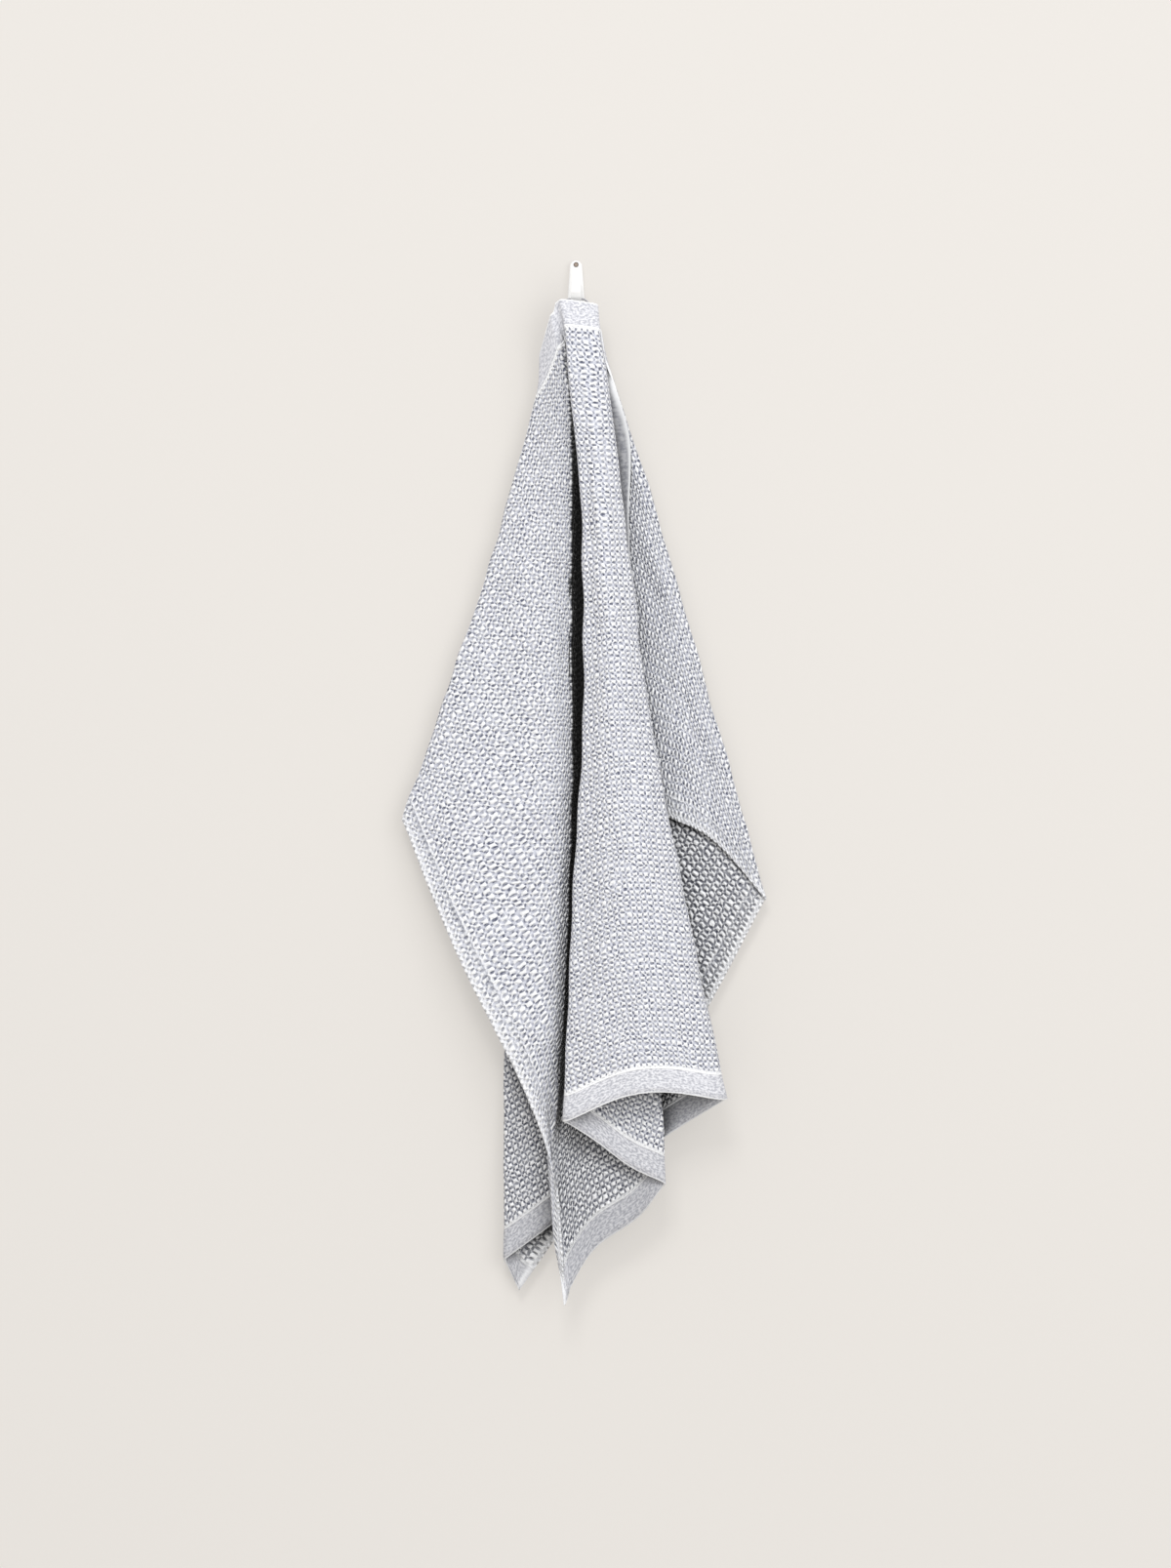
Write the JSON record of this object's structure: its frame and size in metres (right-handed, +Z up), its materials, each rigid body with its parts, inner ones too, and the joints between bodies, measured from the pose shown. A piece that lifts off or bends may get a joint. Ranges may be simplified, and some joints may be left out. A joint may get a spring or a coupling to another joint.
{
  "type": "towel hanging on a wall hook",
  "caption": "Square woven cotton towel hanging in folds by a sewn tape from a small white wall hook.",
  "frame": {"origin": "on the hook's flat wall face, 2 mm below the seat that carries the hanging tape", "axes": "+Y into the wall, +Z up, +X to the right as seen from the room"},
  "size_m": [0.3071, 0.0751, 0.8782],
  "materials": {
    "cotton_weave": "matt white and blue-grey cotton in a raised square weave, with smooth end bands",
    "cotton_tape": "matt light grey woven tape",
    "white_paint": "smooth satin white paint",
    "dark_screw": "dull brownish steel"
  },
  "bodies": {
    "root": {"towel": "cotton_weave", "hanging_tape": "cotton_tape", "hook": "white_paint", "screw": "dark_screw"}
  },
  "joints": []
}
